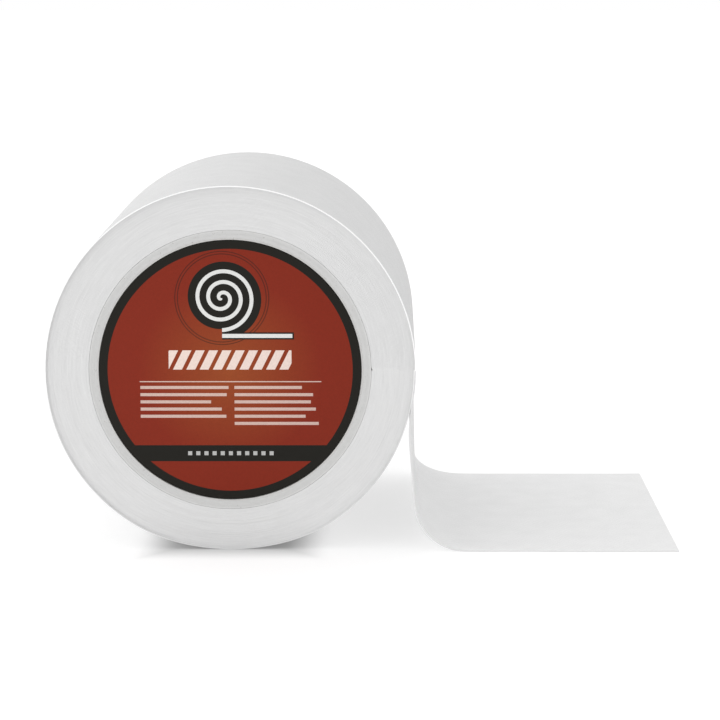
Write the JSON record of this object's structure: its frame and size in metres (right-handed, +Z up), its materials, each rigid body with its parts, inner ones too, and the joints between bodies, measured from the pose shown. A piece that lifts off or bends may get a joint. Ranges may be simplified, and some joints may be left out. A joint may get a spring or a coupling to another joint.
{
  "type": "geotextile roll",
  "caption": "Roll of white geotextile on a paperboard core: the web is wound as one spiral, and its free end hangs from the side and lies flat. A printed disc plugs the core's front.",
  "frame": {"origin": "middle of the flat strip that the roll rests on, straight under the roll's axis and halfway along it", "axes": "+X towards the web's free end on the ground, +Y along the roll's axis away from the printed front, +Z up"},
  "size_m": [0.2483, 0.1524, 0.1437],
  "materials": {
    "geotextile": "white stitch-bonded polyester, soft sheen",
    "tape": "cream double-sided tape",
    "core_paper": "pale grey paper, matt",
    "core_board": "grey paperboard, matt",
    "plug_card": "pressed card, matt",
    "label_print": "dark red print with a black rim, satin"
  },
  "bodies": {
    "roll": {"core_wall": "core_board", "core_liner_ply": "core_paper", "core_face_ply": "core_paper", "start_tape": "tape", "wound_web": "geotextile"},
    "plug": {"core_plug": "plug_card", "label_disc": "label_print"},
    "hanging_web": {"tail_drop": "geotextile"},
    "loose_end": {"tail_flat": "geotextile"}
  },
  "joints": [
    {"name": "tail_swing", "type": "hinge", "parent": "roll", "child": "hanging_web", "pos_m": [0.07243, 0, 0.0713], "axis": [0, -1, 0], "range_deg": [0, 75]},
    {"name": "tail_lift", "type": "hinge", "parent": "hanging_web", "child": "loose_end", "pos_m": [0.09742, 0, 0.00022], "axis": [0, -1, 0], "range_deg": [0, 75]},
    {"name": "plug_pull", "type": "slide", "parent": "roll", "child": "plug", "axis": [0, -1, 0], "range_m": [0, 0.025]}
  ]
}
